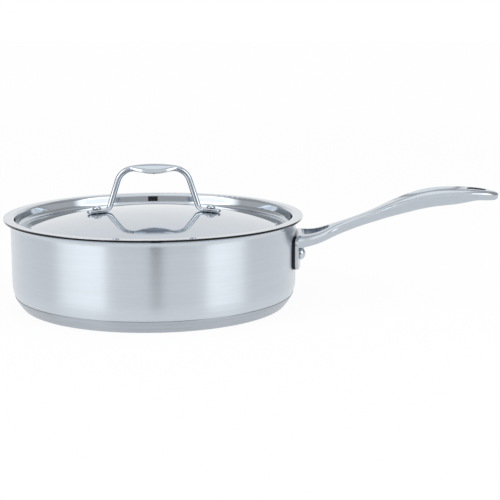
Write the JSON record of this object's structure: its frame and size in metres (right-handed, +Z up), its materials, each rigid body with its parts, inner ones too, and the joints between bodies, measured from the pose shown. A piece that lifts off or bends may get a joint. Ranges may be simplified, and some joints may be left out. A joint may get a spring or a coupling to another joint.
{
  "type": "saute pan with lid",
  "caption": "Straight-sided saute pan with a flared rim, capsule base, long forked handle and a domed lift-off lid with a bent loop handle.",
  "frame": {"origin": "middle of the flat underside of the base, on the hob", "axes": "+X along the long handle away from the pan, +Z up through the lid's handle, right-handed"},
  "size_m": [0.42, 0.254, 0.1191],
  "materials": {
    "shell_steel": "satin",
    "base_steel": "brushed round the axis",
    "core_aluminium": "plain",
    "lid_steel": "polished",
    "handle_steel": "polished",
    "rivet_steel": "polished"
  },
  "bodies": {
    "pan": {"pan_shell": "shell_steel", "heat_core": "core_aluminium", "base_cap": "base_steel", "long_handle": "handle_steel", "handle_rivet_near": "rivet_steel", "handle_rivet_far": "rivet_steel"},
    "lid": {"lid": "lid_steel", "lid_handle": "handle_steel", "lid_rivet_left": "rivet_steel", "lid_rivet_right": "rivet_steel"}
  },
  "joints": [
    {"name": "lid_lift", "type": "slide", "parent": "pan", "child": "lid", "axis": [0, 0, 1], "range_m": [0, 0.1]}
  ]
}
